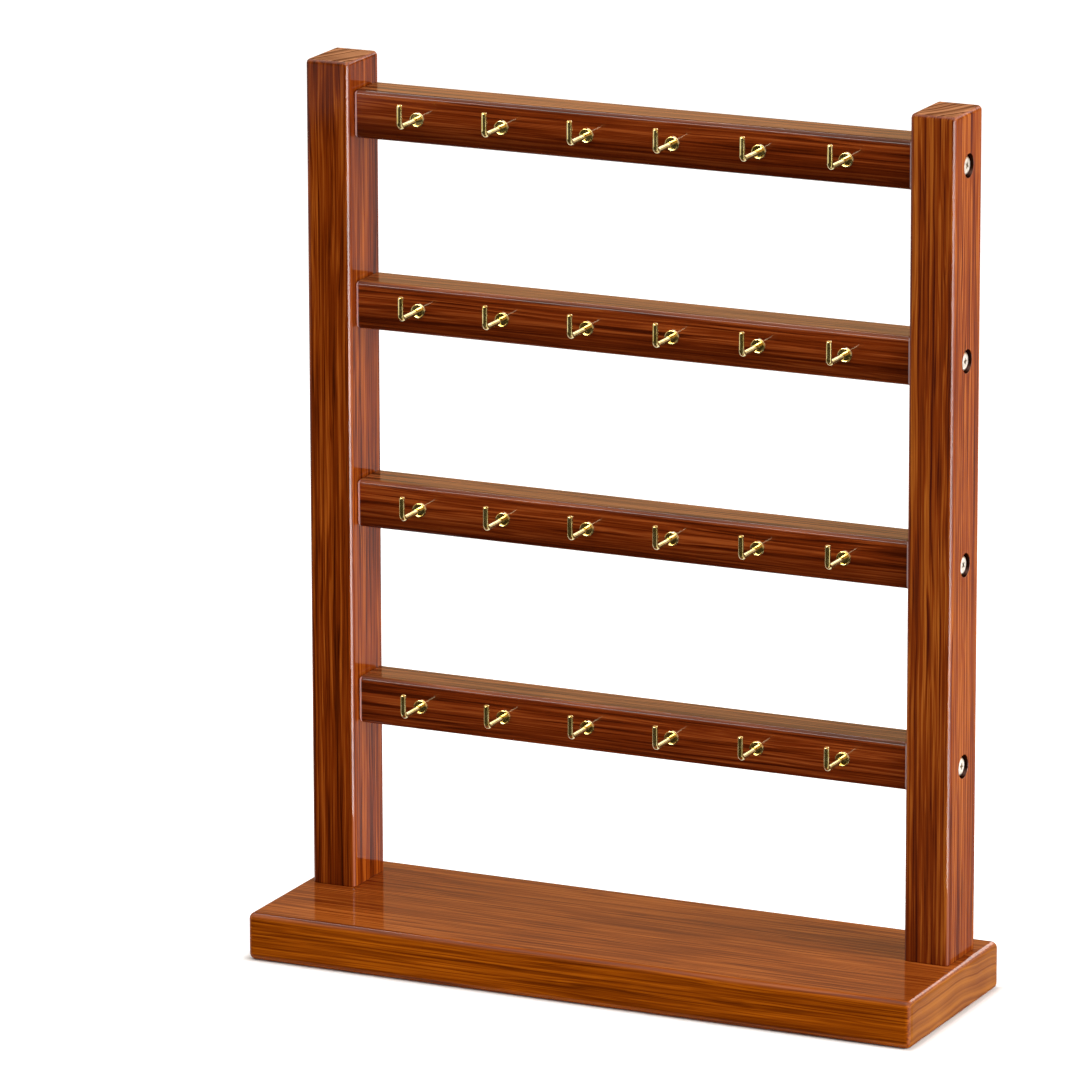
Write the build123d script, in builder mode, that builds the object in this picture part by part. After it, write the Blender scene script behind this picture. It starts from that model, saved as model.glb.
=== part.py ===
from build123d import *

import os

# A bracelet display stand: a base board, two posts and four rails that carry rows of small hooks.
# Sizes are in millimetres. X runs along the rails, the front faces -Y and Z is up.
# The origin is the middle of the base board's underside.

os.makedirs("parts", exist_ok=True)

# Base board
base_width = 300.5
base_depth = 94.5
base_thickness = 20.4
base_round = 2.8

# Posts, which stand on the base board
post_width = 20.0
post_depth = 28.5
post_height = 354.6
post_round = 2.0
post_foot_ease = 0.5
post_end_margin = 4.9  # base board's end to the post's outer face
post_rear_margin = 14.5  # base board's rear edge to the post's rear face

# Rails, which butt between the posts, from the top one down
rail_names = ["top_rail", "upper_rail", "lower_rail", "bottom_rail"]
rail_height = 20.4
rail_depth = 20.0
rail_round = 2.0
top_rail_drop = 12.2  # post's top to the top rail's upper face
top_rail_pitch = 80.7  # top rail to the one below it
lower_rail_pitch = 85.0  # each other rail to the one below it

# Hooks, each bent from one wire with a collar against the rail
hooks_per_rail = 6
hook_pitch = 38.4
hook_wire = 2.3
hook_reach = 16.7  # rail's front face to the prong's centre line
hook_rise = 9.4  # shank's centre line to the prong's tip
hook_bend = 2.0  # radius of the wire's centre line
hook_tip_round = 0.6
hook_tail = 11.0  # the threaded end inside the rail, with its point
hook_point = 2.5
hook_point_diameter = 0.8
collar_diameter = 6.2
collar_thickness = 0.9
collar_recess_diameter = 4.6
collar_recess_depth = 0.5
collar_round = 0.35

# Pan-head screws, the same for the rails and the base board
screw_diameter = 4.0
screw_length = 38.0  # from under the head to the point
screw_point = 4.0
screw_point_diameter = 0.8
screw_head_diameter = 8.0
screw_head_height = 2.4
screw_head_round = 1.2
screw_head_sink = 0.9  # head's top to the wood's surface
drive_length = 2.8
drive_width = 0.8
drive_depth = 1.2
screw_turn = 37.0  # degrees from one screw's cross to the next
base_screw_spacing = 15.0
counterbore_diameter = 10.0
counterbore_ease = 0.2

# Dowels, which keep the rails from turning about their screws
dowel_diameter = 4.0
dowel_length = 16.0
dowel_chamfer = 0.5
dowel_height = 4.2  # rail's underside to the dowel's axis

# Fits: clearances are radial, and the gap is past the end of what fills a blind hole
screw_clearance = 0.15
thread_clearance = 0.05
dowel_clearance = 0.05
blind_gap = 0.5

# Places that follow from the sizes
post_x = base_width / 2 - post_end_margin - post_width / 2
post_y = base_depth / 2 - post_rear_margin - post_depth / 2
post_top = base_thickness + post_height
rail_length = 2 * post_x - post_width
rail_front = post_y - rail_depth / 2
rail_middles = [post_top - top_rail_drop - rail_height / 2]
rail_middles.append(rail_middles[-1] - top_rail_pitch)
while len(rail_middles) < len(rail_names):
    rail_middles.append(rail_middles[-1] - lower_rail_pitch)
dowel_drop = rail_height / 2 - dowel_height
hook_row = [hook_pitch * (i - (hooks_per_rail - 1) / 2) for i in range(hooks_per_rail)]
base_screw_row = [post_y - base_screw_spacing / 2, post_y + base_screw_spacing / 2]
counterbore_depth = screw_head_height + screw_head_sink
sides = {"left": -1, "right": 1}

# Holes that follow from what goes into them
screw_hole = screw_diameter / 2 + screw_clearance
thread_hole = screw_diameter / 2 + thread_clearance
rail_thread_depth = screw_length - (post_width - counterbore_depth) + blind_gap
post_thread_depth = screw_length - (base_thickness - counterbore_depth) + blind_gap
dowel_hole = dowel_diameter / 2 + dowel_clearance
dowel_hole_depth = dowel_length / 2 + blind_gap
hook_hole = hook_wire / 2 + thread_clearance
hook_hole_depth = hook_tail + blind_gap


def save(piece, name):
    """Label a finished piece and write it as one node."""
    piece.part.label = name
    export_step(piece.part, f"parts/{name}.step")


def facing(side, x, z):
    """The plane at a place halfway through the posts' depth, facing the given end of the stand."""
    return Plane(origin=(x, post_y, z), z_dir=(side, 0, 0))


def underside(x, y, z):
    """The plane at a place on a piece's underside, facing down."""
    return Plane(origin=(x, y, z), z_dir=(0, 0, -1))


# The base board is one rounded board, counterbored from below for the screws that hold the posts.
with BuildPart() as base_board:
    Box(base_width, base_depth, base_thickness, align=(Align.CENTER, Align.CENTER, Align.MIN))
    fillet(base_board.edges(), base_round)
    with Locations(*[underside(side * post_x, y, 0) for side in sides.values() for y in base_screw_row]):
        CounterBoreHole(screw_hole, counterbore_diameter / 2, counterbore_depth)
save(base_board, "base_board")

# Each post has one counterbored hole and one blind dowel hole for every rail, and its foot takes two screws.
for name, side in sides.items():
    with BuildPart() as post:
        with Locations((side * post_x, post_y, base_thickness)):
            Box(post_width, post_depth, post_height, align=(Align.CENTER, Align.CENTER, Align.MIN))
        fillet(post.edges().filter_by(Axis.Z) + post.edges().group_by(Axis.Z)[-1], post_round)
        fillet(post.edges().group_by(Axis.Z)[0], post_foot_ease)
        with Locations(*[facing(side, side * (post_x + post_width / 2), z) for z in rail_middles]):
            CounterBoreHole(screw_hole, counterbore_diameter / 2, counterbore_depth)
        outer_face = post.faces().sort_by(Axis((0, 0, 0), (side, 0, 0)))[-1]
        fillet(outer_face.inner_wires().edges(), counterbore_ease)
        with Locations(*[facing(-side, side * rail_length / 2, z - dowel_drop) for z in rail_middles]):
            Hole(dowel_hole, depth=dowel_hole_depth)
        with Locations(*[underside(side * post_x, y, base_thickness) for y in base_screw_row]):
            Hole(thread_hole, depth=post_thread_depth)
    save(post, f"{name}_post")

# Each rail is a square bar, drilled at both ends for a screw and a dowel and along its front for the hooks.
for name, middle in zip(rail_names, rail_middles):
    with BuildPart() as rail:
        with Locations((0, post_y, middle)):
            Box(rail_length, rail_depth, rail_height)
        fillet(rail.edges(), rail_round)
        with Locations(*[facing(side, side * rail_length / 2, middle) for side in sides.values()]):
            Hole(thread_hole, depth=rail_thread_depth)
        dowel_middle = middle - dowel_drop
        with Locations(*[facing(side, side * rail_length / 2, dowel_middle) for side in sides.values()]):
            Hole(dowel_hole, depth=dowel_hole_depth)
        with Locations(*[Plane(origin=(x, rail_front, middle), z_dir=(0, -1, 0)) for x in hook_row]):
            Hole(hook_hole, depth=hook_hole_depth)
    save(rail, name)

# Each hook is a dished collar on a wire, which runs out of the rail, turns up and ends in a rounded tip.
for name, middle in zip(rail_names, rail_middles):
    for number, x in enumerate(hook_row, start=1):
        rail_face = Plane(origin=(x, rail_front, middle), z_dir=(0, -1, 0))
        hook_side = Plane(origin=(x, rail_front, middle), x_dir=(0, -1, 0), z_dir=(-1, 0, 0))
        tail_end = Plane(origin=(x, rail_front + hook_tail - hook_point, middle), z_dir=(0, 1, 0))
        with BuildPart() as hook:
            with BuildSketch(rail_face):
                Circle(collar_diameter / 2)
            extrude(amount=collar_thickness)
            with BuildSketch(rail_face.offset(collar_thickness)):
                Circle(collar_recess_diameter / 2)
            extrude(amount=-collar_recess_depth, mode=Mode.SUBTRACT)
            fillet(hook.edges().group_by(Axis.Y)[0], collar_round)
            with BuildLine(hook_side) as wire:
                FilletPolyline(
                    (hook_point - hook_tail, 0), (hook_reach, 0), (hook_reach, hook_rise), radius=hook_bend
                )
            with BuildSketch(Plane(origin=wire.line @ 0, z_dir=wire.line % 0)):
                Circle(hook_wire / 2)
            sweep(path=wire.line)
            fillet(hook.edges().group_by(Axis.Z)[-1], hook_tip_round)
            with Locations(tail_end):
                Cone(
                    hook_wire / 2,
                    hook_point_diameter / 2,
                    hook_point,
                    align=(Align.CENTER, Align.CENTER, Align.MIN),
                )
        save(hook, f"{name}_hook_{number}")

# A screw stands on its seat under the head, with a cross drive in the head's domed top.
with BuildPart() as screw:
    Cylinder(
        screw_head_diameter / 2, screw_head_height, align=(Align.CENTER, Align.CENTER, Align.MIN)
    )
    fillet(screw.edges().group_by(Axis.Z)[-1], screw_head_round)
    with BuildSketch(Plane.XY.offset(screw_head_height)):
        Rectangle(drive_length, drive_width)
        Rectangle(drive_width, drive_length)
    extrude(amount=-drive_depth, mode=Mode.SUBTRACT)
    Cylinder(
        screw_diameter / 2, screw_length - screw_point, align=(Align.CENTER, Align.CENTER, Align.MAX)
    )
    with Locations(underside(0, 0, screw_point - screw_length)):
        Cone(
            screw_diameter / 2,
            screw_point_diameter / 2,
            screw_point,
            align=(Align.CENTER, Align.CENTER, Align.MIN),
        )

# The rail screws go through the posts into the rails' ends.
rail_seat_x = post_x + post_width / 2 - counterbore_depth
rail_seats = [facing(side, side * rail_seat_x, z) for side in sides.values() for z in rail_middles]
with BuildPart() as rail_screws:
    for turn, seat in enumerate(rail_seats):
        with Locations(seat):
            add(screw.part, rotation=(0, 0, turn * screw_turn))
save(rail_screws, "rail_screws")

# The base screws go up through the base board into the posts' feet.
base_seats = [underside(side * post_x, y, counterbore_depth) for side in sides.values() for y in base_screw_row]
with BuildPart() as base_screws:
    for turn, seat in enumerate(base_seats):
        with Locations(seat):
            add(screw.part, rotation=(0, 0, turn * screw_turn))
save(base_screws, "base_screws")

# The dowels lie half in a post and half in a rail.
with BuildPart() as rail_dowels:
    for side in sides.values():
        with Locations(*[facing(side, side * rail_length / 2, z - dowel_drop) for z in rail_middles]):
            Cylinder(dowel_diameter / 2, dowel_length)
    chamfer(rail_dowels.edges().filter_by(GeomType.CIRCLE), dowel_chamfer)
save(rail_dowels, "rail_dowels")
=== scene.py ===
import math

import bpy
from mathutils import Matrix, Vector


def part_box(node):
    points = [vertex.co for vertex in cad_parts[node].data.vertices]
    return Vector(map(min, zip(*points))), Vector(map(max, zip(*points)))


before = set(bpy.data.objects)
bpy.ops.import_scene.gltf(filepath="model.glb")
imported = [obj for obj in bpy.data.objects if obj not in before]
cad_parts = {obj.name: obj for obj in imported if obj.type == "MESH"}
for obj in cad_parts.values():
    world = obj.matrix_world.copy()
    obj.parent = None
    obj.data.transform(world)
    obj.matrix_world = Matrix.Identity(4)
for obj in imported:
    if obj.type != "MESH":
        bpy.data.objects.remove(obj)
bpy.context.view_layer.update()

bpy.ops.object.select_all(action="DESELECT")

# Base board: one flat-sawn plank of walnut, planed, rounded over on all edges and sprayed with gloss lacquer.
# Its grain runs along the stand, and the heart of the tree lay far below it, so the top shows wide figure
# while the front and the ends show close, nearly level lines. The top took more of the brown stain.


def colour(code):
    """A colour written as an sRGB hex code, in Blender's linear values."""
    parts = [int(code[i : i + 2], 16) / 255 for i in (1, 3, 5)]
    return [p / 12.92 if p <= 0.04045 else ((p + 0.055) / 1.055) ** 2.4 for p in parts] + [1.0]


def add_node(tree, kind, inputs=None, stops=None, **settings):
    """One node with its settings, its inputs as values or links, and a colour ramp's stops. A Mix node's two
    colours are its inputs 6 and 7, and its mixed colour is output 2."""
    made = tree.nodes.new(kind)
    for name, value in settings.items():
        setattr(made, name, value)
    for name, value in (inputs or {}).items():
        if isinstance(value, bpy.types.NodeSocket):
            tree.links.new(value, made.inputs[name])
        else:
            made.inputs[name].default_value = value
    for number, (place, code) in enumerate(stops or []):
        ramp = made.color_ramp.elements
        stop = ramp[number] if number < 2 else ramp.new(place)
        stop.position = place
        stop.color = colour(code)
    return made


def new_material(name):
    """An empty node material, its tree and its output."""
    material = bpy.data.materials.new(name)
    material.use_nodes = True
    material.node_tree.nodes.clear()
    output = material.node_tree.nodes.new("ShaderNodeOutputMaterial")
    return material, material.node_tree, output


def give(node, material):
    """Puts a material on a node of the stand, in place of the plain one."""
    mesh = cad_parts[node].data
    mesh.materials.clear()
    mesh.materials.append(material)


def looks_up(tree):
    """How far the surface looks up: 0 on upright and sloping faces, and 1 on level ones."""
    normal = add_node(tree, "ShaderNodeNewGeometry").outputs["Normal"]
    upward = add_node(tree, "ShaderNodeSeparateXYZ", {0: normal}).outputs[2]
    level = add_node(tree, "ShaderNodeMapRange", {"Value": upward, "From Min": 0.7, "From Max": 0.95})
    return level.outputs[0]


def walnut_figure(tree, along, pith, ring, bold):
    """The figure of walnut as one solid pattern through a board: a tone round 0.5, the surface's slow wave
    and how far the surface is end grain. along is the grain's axis, pith a place on the tree's heart in mm,
    ring the mean ring width in mm and bold the rings' share of the tone."""
    # How far in mm the trunk's sway and the rings' waver bend the rings, and the finer layers drift with them
    sway_reach = 9.0
    waver_reach = 3.0
    waver_reach_at_ends = 0.6
    drift_reach = 4.0
    blotch_share = 0.1

    # Two axes across the grain and the third along it, in mm from the tree's heart
    place = add_node(tree, "ShaderNodeTexCoord").outputs["Object"]
    from_heart = {"Vector": place, "Location": [-p for p in pith], "Scale": [1000] * 3}
    mm = add_node(tree, "ShaderNodeMapping", from_heart)
    split = add_node(tree, "ShaderNodeSeparateXYZ", {0: mm.outputs[0]})
    order = {"X": (1, 2, 0), "Z": (0, 1, 2)}[along]
    turned = {axis: split.outputs[source] for axis, source in enumerate(order)}
    board = add_node(tree, "ShaderNodeCombineXYZ", turned).outputs[0]

    # Each layer's width across the grain and length along it in mm, and the detail of its noise: the trunk's
    # slow sway, the small waver of the rings, streaks, fibres and large blotches
    layers = {
        "sway": (38, 420, 1.0),
        "waver": (7, 110, 2.0),
        "streak": (1.1, 100, 2.0),
        "fibre": (0.45, 38, 1.0),
        "blotch": (26, 200, 1.0),
    }
    noise = {}
    spot = board
    for layer, (wide, long, detail) in layers.items():
        scale = (1 / wide, 1 / wide, 1 / long)
        at = add_node(tree, "ShaderNodeVectorMath", {0: spot, 1: scale}, operation="MULTIPLY")
        made = add_node(tree, "ShaderNodeTexNoise", {"Vector": at.outputs[0], "Scale": 1.0, "Detail": detail})
        noise[layer] = made.outputs[0]
        if layer == "waver":
            # The layers after this one wander with the rings
            across = {0: (drift_reach, drift_reach, 0), "Scale": noise["waver"]}
            drift = add_node(tree, "ShaderNodeVectorMath", across, operation="SCALE")
            spot = add_node(tree, "ShaderNodeVectorMath", {0: board, 1: drift.outputs[0]}).outputs[0]

    # Streaks and fibres run along the grain, so the end grain shows the rings alone, and straighter
    normal = add_node(tree, "ShaderNodeNewGeometry").outputs["Normal"]
    facing = add_node(tree, "ShaderNodeSeparateXYZ", {0: normal}).outputs[along]
    facing = add_node(tree, "ShaderNodeMath", {0: facing}, operation="ABSOLUTE").outputs[0]
    end = add_node(tree, "ShaderNodeMapRange", {"Value": facing, "From Min": 0.6, "From Max": 0.9}).outputs[0]
    ripple = add_node(
        tree, "ShaderNodeMapRange", {"Value": end, "To Min": waver_reach, "To Max": waver_reach_at_ends}
    )

    # The rings are noise of the distance from the heart, bent by the sway and the waver
    flat = add_node(tree, "ShaderNodeVectorMath", {0: board, 1: (1, 1, 0)}, operation="MULTIPLY")
    bent = add_node(tree, "ShaderNodeVectorMath", {0: flat.outputs[0]}, operation="LENGTH").outputs["Value"]
    for layer, reach in (("sway", sway_reach), ("waver", ripple.outputs[0])):
        moved = {0: noise[layer], 1: reach, 2: bent}
        bent = add_node(tree, "ShaderNodeMath", moved, operation="MULTIPLY_ADD").outputs[0]
    years = add_node(tree, "ShaderNodeMath", {0: bent, 1: 1 / ring}, operation="MULTIPLY")
    rings = add_node(
        tree,
        "ShaderNodeTexNoise",
        {"W": years.outputs[0], "Scale": 1.0, "Detail": 4.0, "Roughness": 0.65},
        noise_dimensions="1D",
    )

    tone = add_node(tree, "ShaderNodeMath", {0: rings.outputs[0], 1: bold}, operation="MULTIPLY").outputs[0]
    fine_share = 1.0 - blotch_share - bold
    shares = {"streak": fine_share * 2 / 3, "fibre": fine_share / 3, "blotch": blotch_share}
    for layer, share in shares.items():
        seen = noise[layer]
        if layer != "blotch":
            seen = add_node(tree, "ShaderNodeMix", {0: end, 2: seen, 3: 0.5}).outputs[0]
        added = {0: seen, 1: share, 2: tone}
        tone = add_node(tree, "ShaderNodeMath", added, operation="MULTIPLY_ADD").outputs[0]
    return tone, noise["waver"], end


def gloss_lacquer(tree, output, wood, figure, edge_wear_and_highlight, coat, level_share=1.0):
    """Clear gloss lacquer over stained wood: a smooth film that follows the grain by a few hundredths of a
    millimetre and mirrors at low angles. Its upper and upright rounded edges are painted paler, partly as
    wear and partly as a painted highlight. figure is what walnut_figure gave, the next argument how pale
    those edges are and coat the film's fullness. End grain drinks nearly half of it, and level_share is what
    is left of it on faces that look up."""
    end_share = 0.55
    # The pale edge colour is partly wear and partly a painted highlight
    pale_edge_wear_and_highlight = colour("#c8988a")
    tone, wave, end = figure

    # Painted highlight and wear: the rounded edges, where the normal follows no axis, are painted paler, and
    # the lower ones are left out
    normal = add_node(tree, "ShaderNodeNewGeometry").outputs["Normal"]
    axes = add_node(tree, "ShaderNodeSeparateXYZ", {0: normal})
    unsigned = add_node(tree, "ShaderNodeVectorMath", {0: normal}, operation="ABSOLUTE")
    sides = add_node(tree, "ShaderNodeSeparateXYZ", {0: unsigned.outputs[0]})
    most = add_node(tree, "ShaderNodeMath", {0: sides.outputs[0], 1: sides.outputs[1]}, operation="MAXIMUM")
    most = add_node(tree, "ShaderNodeMath", {0: most.outputs[0], 1: sides.outputs[2]}, operation="MAXIMUM")
    edge = add_node(
        tree,
        "ShaderNodeMapRange",
        {"Value": most.outputs[0], "From Min": 0.94, "From Max": 0.76, "To Max": edge_wear_and_highlight},
    )
    upper = add_node(
        tree, "ShaderNodeMapRange", {"Value": axes.outputs[2], "From Min": -0.3, "From Max": -0.1}
    )
    edge_wear_and_highlight_mask = add_node(tree, "ShaderNodeMath", {0: edge.outputs[0], 1: upper.outputs[0]}, operation="MULTIPLY")
    shown = add_node(tree, "ShaderNodeMix", {0: edge_wear_and_highlight_mask.outputs[0], 6: wood, 7: pale_edge_wear_and_highlight}, data_type="RGBA")

    grain = add_node(tree, "ShaderNodeBump", {"Height": tone, "Strength": 0.25, "Distance": 0.00015})
    film = add_node(tree, "ShaderNodeBump", {"Height": wave, "Strength": 0.05, "Distance": 0.0001})
    drunk = add_node(tree, "ShaderNodeMapRange", {"Value": end, "To Min": coat, "To Max": end_share * coat})
    left = add_node(
        tree, "ShaderNodeMapRange", {"Value": looks_up(tree), "To Min": 1.0, "To Max": level_share}
    )
    full = add_node(tree, "ShaderNodeMath", {0: drunk.outputs[0], 1: left.outputs[0]}, operation="MULTIPLY")
    shader = add_node(
        tree,
        "ShaderNodeBsdfPrincipled",
        {
            "Base Color": shown.outputs[2],
            "Roughness": 0.45,
            "Specular IOR Level": 0.0,
            "Coat Weight": full.outputs[0],
            "Coat Roughness": 0.05,
            "Coat IOR": 1.35,
            "Normal": grain.outputs[0],
            "Coat Normal": film.outputs[0],
        },
    )
    tree.links.new(shader.outputs[0], output.inputs["Surface"])


# A place on the tree's heart and the ring width in mm, the rings' share of the tone, how pale the lacquer's
# upper edges are painted (partly wear, partly painted highlight), its fullness, and the stains from the dark
# lines to the pale ones
base_heart = (40, -20, -400)
base_ring = 2.4
base_rings_share = 0.24
base_edge_wear_and_highlight = 0.12
base_coat = 0.42
honey_stain = [(0.4, "#5e2602"), (0.5, "#883e04"), (0.6, "#b25c0c")]
brown_stain = [(0.4, "#602408"), (0.5, "#8c4212"), (0.6, "#b26024")]
end_stain = [(0.45, "#6c3206"), (0.55, "#a0601c")]
# The brown stain fades out down the rounded edge, over these depths in metres below the top
brown_full = 0.0002
brown_ends = 0.0022

base_walnut, tree, output = new_material("gloss_lacquered_walnut_base")
figure = walnut_figure(tree, "X", base_heart, base_ring, base_rings_share)
tone, _, end = figure
honey = add_node(tree, "ShaderNodeValToRGB", {0: tone}, honey_stain)
brown = add_node(tree, "ShaderNodeValToRGB", {0: tone}, brown_stain)
place = add_node(tree, "ShaderNodeTexCoord").outputs["Object"]
height = add_node(tree, "ShaderNodeSeparateXYZ", {0: place}).outputs[2]
base_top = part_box("base_board")[1][2]
stained = add_node(
    tree,
    "ShaderNodeMapRange",
    {"Value": height, "From Min": base_top - brown_ends, "From Max": base_top - brown_full},
)
wood = add_node(
    tree, "ShaderNodeMix", {0: stained.outputs[0], 6: honey.outputs[0], 7: brown.outputs[0]}, data_type="RGBA"
)
# The ends drank a yellower stain, which brings out their rings
yellow = add_node(tree, "ShaderNodeValToRGB", {0: tone}, end_stain)
wood = add_node(tree, "ShaderNodeMix", {0: end, 6: wood.outputs[2], 7: yellow.outputs[0]}, data_type="RGBA")
gloss_lacquer(tree, output, wood.outputs[2], figure, base_edge_wear_and_highlight, base_coat)
give("base_board", base_walnut)

# Posts: two uprights of the same walnut, deeper than wide, with the rings nearly across their fronts.
# Each is screwed to the base board from below, and bored from its outer side for the screws of the rails.
# The bores' walls are painted dark: a painted shade.

# For each post, a place on the tree's heart in mm, its stain and the fullness of its lacquer
posts = {
    "left_post": ((-250, 60, 60), [(0.4, "#3a1202"), (0.5, "#6e2905"), (0.6, "#984c14")], 0.36),
    "right_post": ((30, 60, -90), [(0.4, "#42160a"), (0.5, "#7a320c"), (0.6, "#a45a1e")], 0.18),
}
post_ring = 2.8
post_rings_share = 0.27
post_edge_wear_and_highlight = 0.2
sanded_stain = [(0.465, "#5e2c12"), (0.535, "#bc7e54")]
painted_bore_shade = colour("#240c03")
# The bores are found by their place, in metres: within bore_reach of the post's middle line and of its outer
# face, and under the skin of that face
bore_reach = 0.006
face_skin = 0.0002
post_middle = sum(corner[1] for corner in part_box("left_post")) / 2
for post, (heart, stain, coat) in posts.items():
    post_walnut, tree, output = new_material(f"gloss_lacquered_walnut_{post}")
    figure = walnut_figure(tree, "Z", heart, post_ring, post_rings_share)
    tone = figure[0]
    wood = add_node(tree, "ShaderNodeValToRGB", {0: tone}, stain)
    # The sanded end grain at the top took less stain
    sanded = add_node(tree, "ShaderNodeValToRGB", {0: tone}, sanded_stain)
    wood = add_node(
        tree, "ShaderNodeMix", {0: looks_up(tree), 6: wood.outputs[0], 7: sanded.outputs[0]}, data_type="RGBA"
    )
    place = add_node(tree, "ShaderNodeTexCoord").outputs["Object"]
    spot = add_node(tree, "ShaderNodeSeparateXYZ", {0: place})
    outward = add_node(tree, "ShaderNodeMath", {0: spot.outputs[0]}, operation="ABSOLUTE").outputs[0]
    outer_face = max(abs(corner[0]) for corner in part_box(post))
    post_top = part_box(post)[1][2]
    in_a_bore = [
        ("LESS_THAN", {0: outward, 1: outer_face - face_skin}),
        ("GREATER_THAN", {0: outward, 1: outer_face - bore_reach}),
        ("COMPARE", {0: spot.outputs[1], 1: post_middle, 2: bore_reach}),
        ("LESS_THAN", {0: spot.outputs[2], 1: post_top - bore_reach}),
    ]
    # The bores' walls are painted dark: a painted shade
    bore_shade_mask = 1.0
    for test, values in in_a_bore:
        passed = add_node(tree, "ShaderNodeMath", values, operation=test).outputs[0]
        bore_shade_mask = add_node(tree, "ShaderNodeMath", {0: bore_shade_mask, 1: passed}, operation="MULTIPLY").outputs[0]
    bore_shaded = add_node(tree, "ShaderNodeMix", {0: bore_shade_mask, 6: wood.outputs[2], 7: painted_bore_shade}, data_type="RGBA")
    gloss_lacquer(tree, output, bore_shaded.outputs[2], figure, post_edge_wear_and_highlight, coat)
    give(post, post_walnut)

# Rails: square bars of darker walnut with the grain along them, held at both ends by a screw and a dowel and
# drilled along the front for the hooks. Their tops were rubbed down, so they are less glossy, and the tops
# are painted paler, a painted highlight from the light above.
# At the ends, a pale line is painted round the front's upright edges: a painted highlight.

# For each rail, a place on the tree's heart in mm and how dark the painted shade low on its front is
rails = {
    "top_rail": ((15, -60, 300), 0.75),
    "upper_rail": ((-160, -70, 205), 0.58),
    "lower_rail": ((95, -55, 130), 0.5),
    "bottom_rail": ((-190, -55, 45), 0.2),
}
rail_ring = 3.0
rail_rings_share = 0.26
rail_edge_wear_and_highlight = 0.15
rail_coat = 0.8
rail_top_share = 0.75
rail_stain = [(0.4, "#3f1303"), (0.5, "#702a0a"), (0.6, "#984a1d")]
rail_top_painted_highlight = [(0.42, "#4a1e08"), (0.58, "#a66436")]
painted_low_shade = colour("#330c02")
painted_end_highlight = colour("#e4cccb")
# The painted shade starts this far below a rail's top and is full this far above its underside, in metres
low_shade_starts = 0.008
low_shade_full = 0.003
for rail, (heart, low_shade_share) in rails.items():
    rail_walnut, tree, output = new_material(f"gloss_lacquered_walnut_{rail}")
    figure = walnut_figure(tree, "X", heart, rail_ring, rail_rings_share)
    tone = figure[0]
    wood = add_node(tree, "ShaderNodeValToRGB", {0: tone}, rail_stain)
    # The tops are painted paler: a painted highlight from above
    pale = add_node(tree, "ShaderNodeValToRGB", {0: tone}, rail_top_painted_highlight)
    wood = add_node(
        tree, "ShaderNodeMix", {0: looks_up(tree), 6: wood.outputs[0], 7: pale.outputs[0]}, data_type="RGBA"
    )
    lowest, highest = (corner[2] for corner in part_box(rail))
    place = add_node(tree, "ShaderNodeTexCoord").outputs["Object"]
    height = add_node(tree, "ShaderNodeSeparateXYZ", {0: place}).outputs[2]
    # Darker towards the bottom of each rail: a painted shade
    low_shade_mask = add_node(
        tree,
        "ShaderNodeMapRange",
        {
            "Value": height,
            "From Min": highest - low_shade_starts,
            "From Max": lowest + low_shade_full,
            "To Max": low_shade_share,
        },
    )
    wood = add_node(
        tree, "ShaderNodeMix", {0: low_shade_mask.outputs[0], 6: wood.outputs[2], 7: painted_low_shade}, data_type="RGBA"
    )
    # The painted highlight lies where the front turns into the ends
    normal = add_node(tree, "ShaderNodeNewGeometry").outputs["Normal"]
    axes = add_node(tree, "ShaderNodeSeparateXYZ", {0: normal})
    sideways = add_node(tree, "ShaderNodeMath", {0: axes.outputs[0]}, operation="ABSOLUTE").outputs[0]
    end = add_node(tree, "ShaderNodeMapRange", {"Value": sideways, "From Min": 0.15, "From Max": 0.4})
    front = add_node(
        tree, "ShaderNodeMapRange", {"Value": axes.outputs[1], "From Min": -0.45, "From Max": -0.7}
    )
    end_highlight_mask = add_node(tree, "ShaderNodeMath", {0: end.outputs[0], 1: front.outputs[0]}, operation="MULTIPLY")
    end_highlit = add_node(
        tree, "ShaderNodeMix", {0: end_highlight_mask.outputs[0], 6: wood.outputs[2], 7: painted_end_highlight}, data_type="RGBA"
    )
    gloss_lacquer(tree, output, end_highlit.outputs[2], figure, rail_edge_wear_and_highlight, rail_coat, rail_top_share)
    give(rail, rail_walnut)

# Hooks: each is one drawn brass wire with a pressed, dished collar, bent up at the front and rounded at its
# tip. Its threaded tail is screwed into the rail until the collar meets the wood.

brass, tree, output = new_material("polished_brass")
place = add_node(tree, "ShaderNodeTexCoord").outputs["Object"]
mm = add_node(tree, "ShaderNodeMapping", {"Vector": place, "Scale": [1000] * 3}).outputs[0]
# Polished brass mirrors its surroundings in pale gold. Handling leaves duller patches about 3 mm wide, and
# drawing leaves faint lines about 0.2 mm apart.
patch = add_node(tree, "ShaderNodeTexNoise", {"Vector": mm, "Scale": 1 / 3, "Detail": 2.0}).outputs[0]
line_at = add_node(tree, "ShaderNodeVectorMath", {0: mm, 1: (1 / 0.2, 1 / 6, 1 / 6)}, operation="MULTIPLY")
line = add_node(tree, "ShaderNodeTexNoise", {"Vector": line_at.outputs[0], "Scale": 1.0, "Detail": 1.0})
gold = add_node(tree, "ShaderNodeValToRGB", {0: patch}, [(0.35, "#baa45c"), (0.65, "#d6c68c")])
gloss = add_node(tree, "ShaderNodeMapRange", {"Value": patch, "To Min": 0.06, "To Max": 0.13})
drawn = add_node(tree, "ShaderNodeBump", {"Height": line.outputs[0], "Strength": 0.04, "Distance": 0.00005})
shader = add_node(
    tree,
    "ShaderNodeBsdfPrincipled",
    {
        "Base Color": gold.outputs[0],
        "Metallic": 0.94,
        "Roughness": gloss.outputs[0],
        "Normal": drawn.outputs[0],
    },
)
tree.links.new(shader.outputs[0], output.inputs["Surface"])
hooks = [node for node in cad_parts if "_hook_" in node]
for hook in hooks:
    give(hook, brass)

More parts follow.
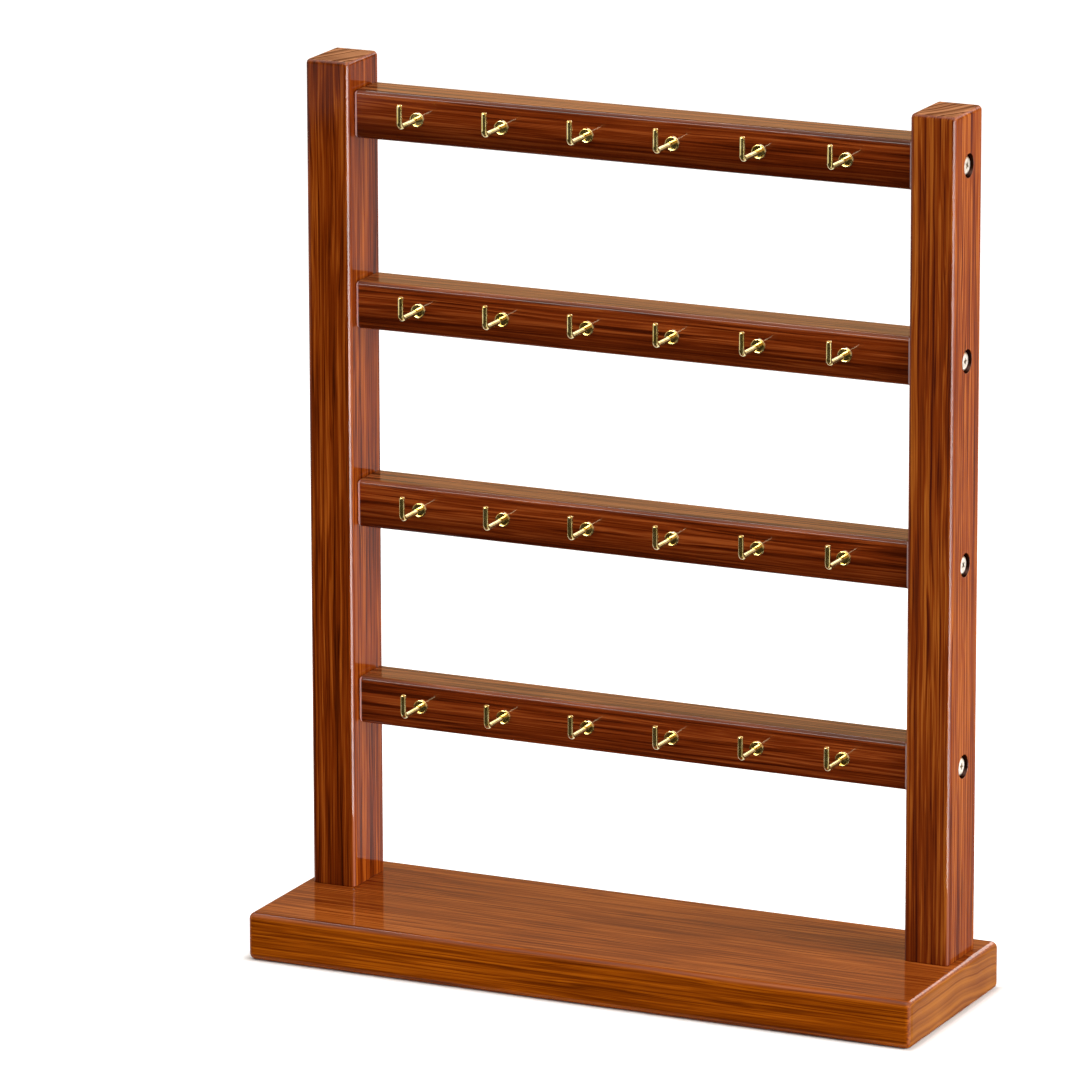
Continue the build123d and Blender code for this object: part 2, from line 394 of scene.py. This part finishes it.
# Screws: pan-head wood screws of nickel-plated steel with a small cross drive, sunk in counterbores.
# Eight go through the posts into the rails' ends, and four go up through the base board into the posts.

nickel, tree, output = new_material("nickel_plated_steel")
place = add_node(tree, "ShaderNodeTexCoord").outputs["Object"]
mm = add_node(tree, "ShaderNodeMapping", {"Vector": place, "Scale": [1000] * 3}).outputs[0]
# Plating shines softly in a warm white, with grain about 0.5 mm wide and stains of about 2 mm.
speck = add_node(tree, "ShaderNodeTexNoise", {"Vector": mm, "Scale": 1 / 0.5, "Detail": 2.0}).outputs[0]
spots = add_node(tree, "ShaderNodeTexNoise", {"Vector": mm, "Scale": 1 / 2, "Detail": 1.0}).outputs[0]
plate = add_node(tree, "ShaderNodeValToRGB", {0: spots}, [(0.3, "#c9c0b2"), (0.7, "#efe8dc")])
gloss = add_node(tree, "ShaderNodeMapRange", {"Value": speck, "To Min": 0.22, "To Max": 0.4})
grain = add_node(tree, "ShaderNodeBump", {"Height": speck, "Strength": 0.1, "Distance": 0.00005})
shader = add_node(
    tree,
    "ShaderNodeBsdfPrincipled",
    {
        "Base Color": plate.outputs[0],
        "Metallic": 1.0,
        "Roughness": gloss.outputs[0],
        "Normal": grain.outputs[0],
    },
)
tree.links.new(shader.outputs[0], output.inputs["Surface"])
give("rail_screws", nickel)
give("base_screws", nickel)

# Dowels: short turned beech pins with chamfered ends, glued half in a post and half in a rail.
# They keep the rails from turning and can't be seen once the stand is together.

beech, tree, output = new_material("bare_beech")
place = add_node(tree, "ShaderNodeTexCoord").outputs["Object"]
# Raw beech is pale and matt, with flecks about 0.5 mm wide and 3 mm long.
fleck_scale = (1000 / 3, 1000 / 0.5, 1000 / 0.5)
fleck_at = add_node(tree, "ShaderNodeMapping", {"Vector": place, "Scale": fleck_scale})
fleck = add_node(tree, "ShaderNodeTexNoise", {"Vector": fleck_at.outputs[0], "Scale": 1.0, "Detail": 2.0})
pin = add_node(tree, "ShaderNodeValToRGB", {0: fleck.outputs[0]}, [(0.3, "#b98a5c"), (0.7, "#dcb98c")])
grain = add_node(tree, "ShaderNodeBump", {"Height": fleck.outputs[0], "Strength": 0.3, "Distance": 0.0001})
shader = add_node(
    tree,
    "ShaderNodeBsdfPrincipled",
    {"Base Color": pin.outputs[0], "Roughness": 0.7, "Normal": grain.outputs[0]},
)
tree.links.new(shader.outputs[0], output.inputs["Surface"])
give("rail_dowels", beech)

# Floor: a plain white paper sheet that runs far past the view on every side. It shows as white to the eye and
# in the metal. Only in a narrow band round the base board is its white lift held back, so the stand's shade
# shows there as a painted contact shadow; further out the lift hides the shade.

floor_width = 14
shade_width = 0.005
white_lift = 0.6
bpy.ops.mesh.primitive_plane_add(size=floor_width, location=(0, 0, 0))
floor = bpy.context.object
floor.name = "floor"
paper, tree, output = new_material("white_paper")
path = add_node(tree, "ShaderNodeLightPath")
seen = add_node(tree, "ShaderNodeMath", {0: path.outputs["Is Camera Ray"], 1: path.outputs["Is Glossy Ray"]})
seen = add_node(
    tree, "ShaderNodeMath", {0: seen.outputs[0], 1: path.outputs["Is Transmission Ray"]}, use_clamp=True
)
place = add_node(tree, "ShaderNodeTexCoord").outputs["Object"]
spot = add_node(tree, "ShaderNodeVectorMath", {0: place}, operation="ABSOLUTE").outputs[0]
base_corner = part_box("base_board")[1]
past = add_node(tree, "ShaderNodeVectorMath", {0: spot, 1: base_corner}, operation="SUBTRACT").outputs[0]
past = add_node(tree, "ShaderNodeSeparateXYZ", {0: past})
away = add_node(tree, "ShaderNodeMath", {0: past.outputs[0], 1: past.outputs[1]}, operation="MAXIMUM")
# Painted contact shadow: the white lift fades out within shade_width of the base board
glow = add_node(
    tree,
    "ShaderNodeMapRange",
    {"Value": away.outputs[0], "From Min": 0.0, "From Max": shade_width, "To Max": white_lift},
)
lift = add_node(tree, "ShaderNodeMath", {0: seen.outputs[0], 1: glow.outputs[0]}, operation="MULTIPLY")
sheet = add_node(
    tree,
    "ShaderNodeBsdfPrincipled",
    {
        "Base Color": colour("#f2f1ef"),
        "Roughness": 1.0,
        "Specular IOR Level": 0.0,
        "Emission Color": colour("#ffffff"),
        "Emission Strength": lift.outputs[0],
    },
)
tree.links.new(sheet.outputs[0], output.inputs["Surface"])
floor.data.materials.append(paper)

# Dark mat: a sheet of felt on the floor in front of the stand that only shows as a reflection.
# It keeps the fronts deep in colour and puts a dark core in the round metal.

mat_place = (0.6, -2.55, 0.0005)
mat_size = (3.0, 5.0, 0)
bpy.ops.mesh.primitive_plane_add(size=1, location=mat_place)
mat = bpy.context.object
mat.name = "dark_mat"
mat.dimensions = mat_size
bpy.ops.object.transform_apply(location=True, rotation=True, scale=True)
felt, tree, output = new_material("dark_felt")
matt = add_node(tree, "ShaderNodeBsdfDiffuse", {"Color": colour("#2e2606")})
tree.links.new(matt.outputs[0], output.inputs["Surface"])
mat.data.materials.append(felt)
mat.visible_camera = False
mat.visible_diffuse = False
mat.visible_shadow = False

# Light: an even room with walls that look warm in reflections, a large soft light overhead, one at the right
# and a small one for the left post's inner side. The others only show as reflections on edges and metal.
# Some reach one group of pieces, and some of these aren't shaded by the rails and the right post.

room = bpy.data.worlds.new("room")
bpy.context.scene.world = room
room.use_nodes = True
tree = room.node_tree
path = add_node(tree, "ShaderNodeLightPath")
walls = add_node(
    tree,
    "ShaderNodeMix",
    {0: path.outputs["Is Glossy Ray"], 6: colour("#bcb8b4"), 7: colour("#ffcf9c")},
    data_type="RGBA",
)
tree.links.new(walls.outputs[2], tree.nodes["Background"].inputs["Color"])


def softbox(name, place, aim, size, level, reflection_only=False, pieces=None, past=None):
    """A soft light of the given size in metres, facing a point, whose level is its own brightness. pieces are
    the nodes that it reaches, where it doesn't reach them all, and past those that don't shade it."""
    light = bpy.data.lights.new(name, "AREA")
    light.shape = "RECTANGLE"
    light.size, light.size_y = size
    light.energy = level * math.pi * size[0] * size[1]
    lamp = bpy.data.objects.new(name, light)
    bpy.context.scene.collection.objects.link(lamp)
    lamp.location = place
    lamp.rotation_euler = (Vector(aim) - Vector(place)).to_track_quat("-Z", "Y").to_euler()
    lamp.visible_camera = False
    lamp.visible_diffuse = not reflection_only
    lamp.visible_glossy = reflection_only
    if pieces:
        lit = bpy.data.collections.new(f"lit_by_{name}")
        for piece in pieces:
            lit.objects.link(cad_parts[piece])
        lamp.light_linking.receiver_collection = lit
    if past:
        spared = bpy.data.collections.new(f"not_shading_{name}")
        for piece in past:
            spared.objects.link(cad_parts[piece])
        for entry in spared.collection_objects:
            entry.light_linking.link_state = "EXCLUDE"
        lamp.light_linking.blocker_collection = spared


stand_middle = (0, 0, 0.2)
hooks_middle = (0, 0, 0.25)
above = (-0.5, -0.35, 1.8)
front_left = (-0.95, -2.2, 1.2)
in_the_way = [*rails, "right_post"]
softbox("overhead", above, stand_middle, (1.6, 1.6), 1.6)
softbox("right_key", (1.9, -0.2, 0.9), stand_middle, (1.2, 1.2), 10.0)
softbox(
    "left_post_side",
    (0.3, -0.06, 0.08),
    (-0.125, 0.02, 0.1),
    (0.12, 0.12),
    32.0,
    pieces=["left_post"],
    past=in_the_way,
)
softbox("top_edge", above, stand_middle, (2.2, 1.1), 16.0, True)
softbox("back_edge", (0.3, 2.1, 1.1), stand_middle, (1.6, 0.2), 9.0, True)
post_strip = (0.14, 0.4)
softbox("left_post_edge", (-0.005, -0.12, 0.2), (-0.125, 0.005, 0.2), post_strip, 44.0, True, ["left_post"])
softbox("right_post_edge", (0.265, -0.12, 0.2), (0.145, 0.005, 0.2), post_strip, 60.0, True, ["right_post"])
softbox("hook_back", (0.0, 2.1, 1.4), hooks_middle, (1.6, 0.6), 2.8, True, hooks, in_the_way)
softbox("hook_side", (1.0, 2.1, 0.5), hooks_middle, (0.7, 1.1), 0.7, True, hooks, in_the_way)
softbox("hook_front", front_left, hooks_middle, (1.6, 1.0), 22.0, True, hooks)
softbox("rail_front", front_left, hooks_middle, (1.6, 0.5), 14.0, True, list(rails))

# Camera: a long lens far off, to the right of the stand's front and a little above it.
# Its place and lens are the photograph's, worked out from the stand's straight edges.

azimuth = math.radians(25.1634)
elevation = math.radians(14.4401)
roll = math.radians(-0.163)
distance = 3.6250983
target = Vector((-0.0367227, 0, 0.1823749))
focal_pixels = 8782.92
photo_width = 1080
sensor_width = 36.0
ahead = math.cos(elevation)
back = Vector((math.sin(azimuth) * ahead, -math.cos(azimuth) * ahead, math.sin(elevation)))
right = Vector((math.cos(azimuth), math.sin(azimuth), 0))
up = back.cross(right)
right, up = (
    math.cos(roll) * right + math.sin(roll) * up,
    math.cos(roll) * up - math.sin(roll) * right,
)
view = bpy.data.cameras.new("camera")
camera = bpy.data.objects.new("camera", view)
bpy.context.scene.collection.objects.link(camera)
view.sensor_width = sensor_width
view.lens = sensor_width * focal_pixels / photo_width
view.clip_end = 50.0
turn = Matrix((right, up, back)).transposed().to_4x4()
camera.matrix_world = Matrix.Translation(target + distance * back) @ turn
bpy.context.scene.camera = camera
bpy.context.scene.view_settings.view_transform = "Standard"
